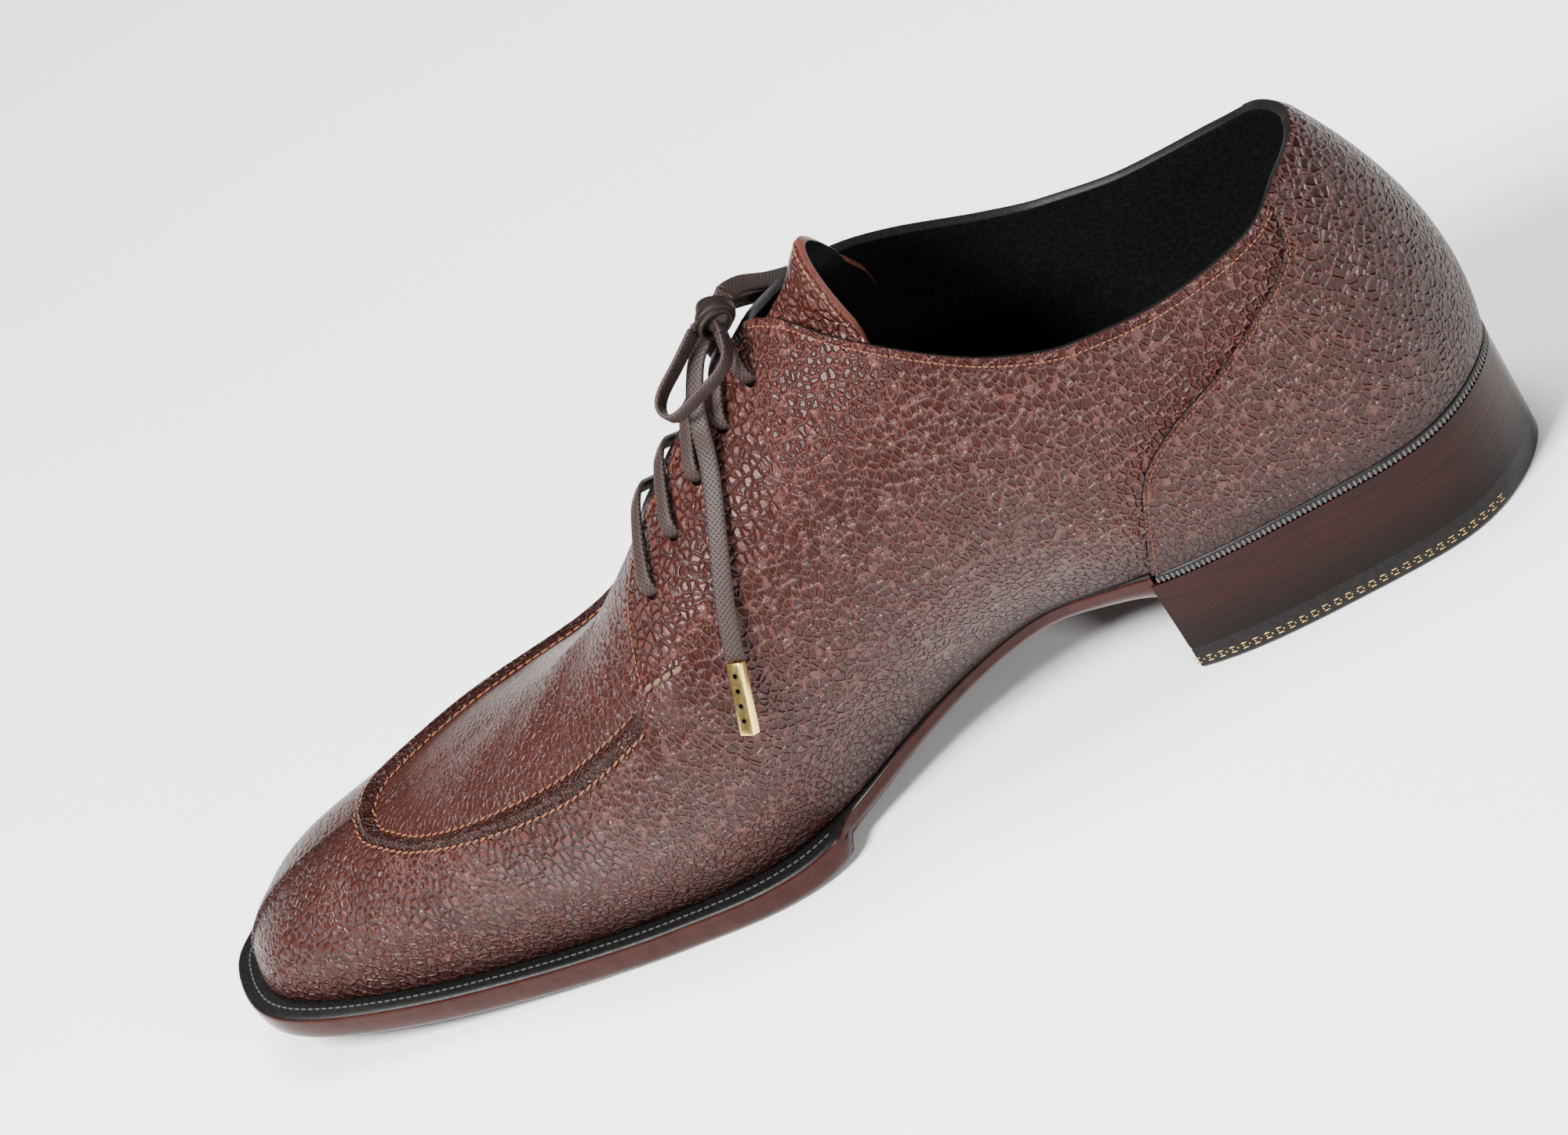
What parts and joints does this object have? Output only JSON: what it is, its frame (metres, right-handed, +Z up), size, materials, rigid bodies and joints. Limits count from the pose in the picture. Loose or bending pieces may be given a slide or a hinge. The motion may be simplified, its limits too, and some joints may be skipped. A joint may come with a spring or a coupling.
{
  "type": "split toe derby shoe",
  "caption": "Right dress shoe with a raised apron seam and a split toe, open lacing with flat laces tied in a bow, welted leather sole and a stacked heel.",
  "frame": {"origin": "middle of the heel's resting face, on the floor", "axes": "+X to the toe, +Y to the inner (medial) side, +Z up"},
  "size_m": [0.3039, 0.1065, 0.1193],
  "materials": {
    "grain_leather": "pebbled, burnished, low gloss",
    "black_leather": "smooth",
    "sole_edge": "polished",
    "stacked_leather": "polished",
    "rubber": "matte",
    "waxed_lace": "waxed braid",
    "brass": "polished"
  },
  "bodies": {
    "root": {"upper": "grain_leather", "heel_counter": "grain_leather", "tongue": "grain_leather", "insole": "black_leather", "outsole": "sole_edge", "welt": "black_leather", "heel_rand": "black_leather", "heel_stack": "stacked_leather", "top_piece": "rubber", "lace_bar_1": "waxed_lace", "lace_bar_2": "waxed_lace", "lace_bar_3": "waxed_lace", "lace_bar_4": "waxed_lace", "lace_bar_5": "waxed_lace", "lace_knot": "waxed_lace", "lace_loop_inner": "waxed_lace", "lace_loop_outer": "waxed_lace", "lace_end_inner": "waxed_lace", "lace_end_outer": "waxed_lace", "aglet_inner": "brass", "aglet_outer": "brass"}
  },
  "joints": []
}
